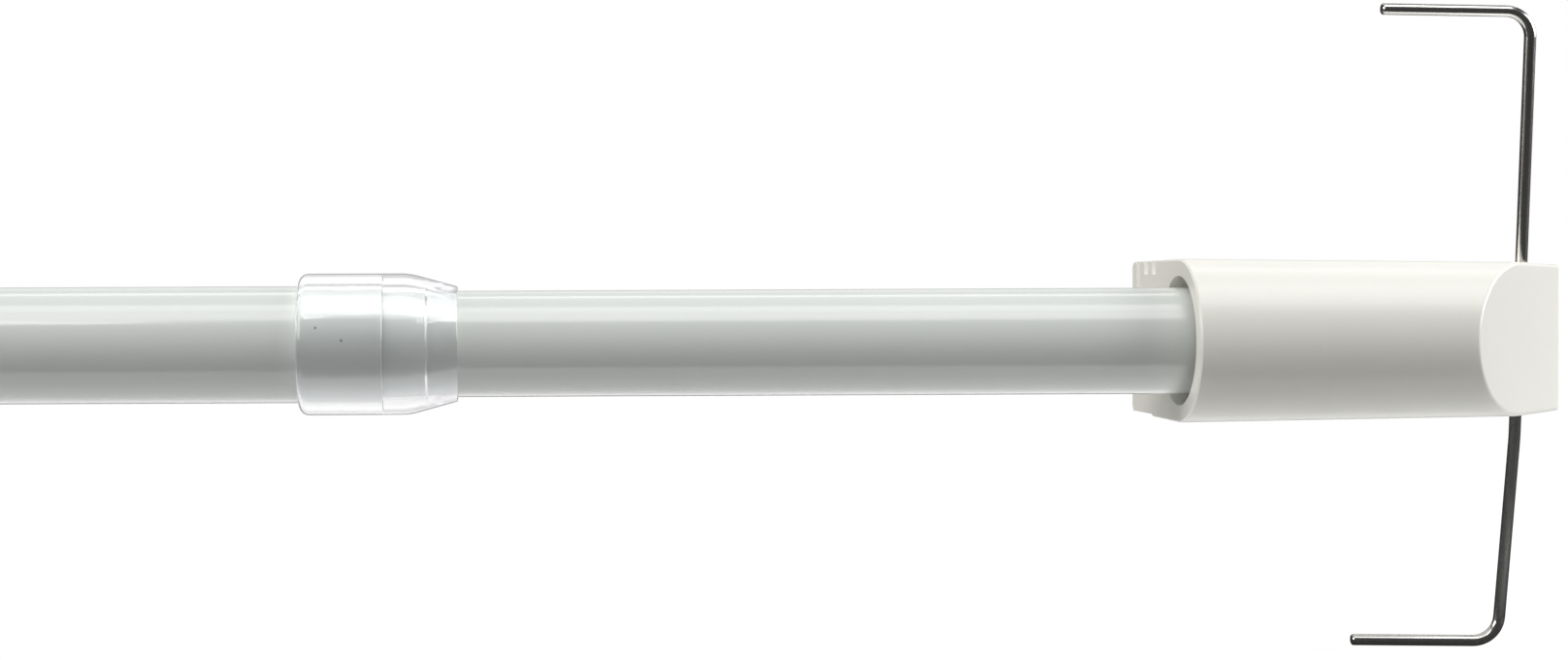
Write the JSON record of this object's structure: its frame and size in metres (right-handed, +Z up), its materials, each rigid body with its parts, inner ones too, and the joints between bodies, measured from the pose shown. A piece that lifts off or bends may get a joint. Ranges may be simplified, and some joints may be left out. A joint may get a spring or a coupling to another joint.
{
  "type": "spring tension rod",
  "caption": "Telescopic white tension rod with a clear collar, bevelled moulded end blocks and bent wire brackets, locked by a twist and held by an inner spring.",
  "frame": {"origin": "centre of the left end face, behind the rod axis", "axes": "+X along the rod to the right end face, +Y to the flat back, +Z up"},
  "size_m": [0.396, 0.0273, 0.0696],
  "materials": {
    "white_enamel": "gloss white enamel",
    "clear_plastic": "clear moulded plastic",
    "block_plastic": "satin moulded off-white",
    "bright_wire": "bright plated wire",
    "lock_plastic": "natural moulded plastic",
    "zinc_steel": "zinc plated",
    "spring_steel": "drawn spring wire"
  },
  "bodies": {
    "left_end": {"left_end_block": "block_plastic"},
    "left_wire": {"left_wire_bracket": "bright_wire"},
    "outer": {"outer_tube": "white_enamel", "clear_collar": "clear_plastic"},
    "lock": {"expander_sleeve": "lock_plastic"},
    "cone": {"cone_nut": "lock_plastic"},
    "plunger": {"plunger_shaft": "lock_plastic", "lock_screw": "zinc_steel", "screw_stop_nut": "zinc_steel"},
    "inner": {"inner_tube": "white_enamel", "guide_bush": "lock_plastic", "spring_stop": "lock_plastic", "push_spring": "spring_steel"},
    "right_end": {"right_end_block": "block_plastic"},
    "right_wire": {"right_wire_bracket": "bright_wire"}
  },
  "joints": [
    {"name": "left_block_turn", "type": "hinge", "parent": "left_end", "child": "outer", "pos_m": [0.0222, -0.01325, 0], "axis": [1, 0, 0], "continuous": true},
    {"name": "left_wire_swing", "type": "hinge", "parent": "left_end", "child": "left_wire", "pos_m": [0.0049, -0.00725, 0], "axis": [0, 0.0906, 0.9959], "continuous": true},
    {"name": "length_setting", "type": "slide", "parent": "outer", "child": "lock", "axis": [1, 0, 0], "range_m": [-0.05, 0.08]},
    {"name": "lock_twist", "type": "hinge", "parent": "lock", "child": "plunger", "pos_m": [0.1438, -0.01325, 0], "axis": [1, 0, 0], "range_deg": [-720, 0]},
    {"name": "cone_travel", "type": "slide", "parent": "lock", "child": "cone", "axis": [1, 0, 0], "range_m": [-0.0014, 0]},
    {"name": "spring_push", "type": "slide", "parent": "plunger", "child": "inner", "axis": [1, 0, 0], "range_m": [-0.02, 0], "stiffness_N_per_m": 1750, "springref_m": 0.006, "deforming": ["push_spring"]},
    {"name": "right_block_turn", "type": "hinge", "parent": "inner", "child": "right_end", "pos_m": [0.3538, -0.01325, 0], "axis": [1, 0, 0], "continuous": true},
    {"name": "right_wire_swing", "type": "hinge", "parent": "right_end", "child": "right_wire", "pos_m": [0.3911, -0.00725, 0], "axis": [0, -0.0906, 0.9959], "continuous": true}
  ],
  "couplings": [
    {"joint": "cone_travel", "follows": "lock_twist", "m_per_rad": 0.00011141}
  ]
}
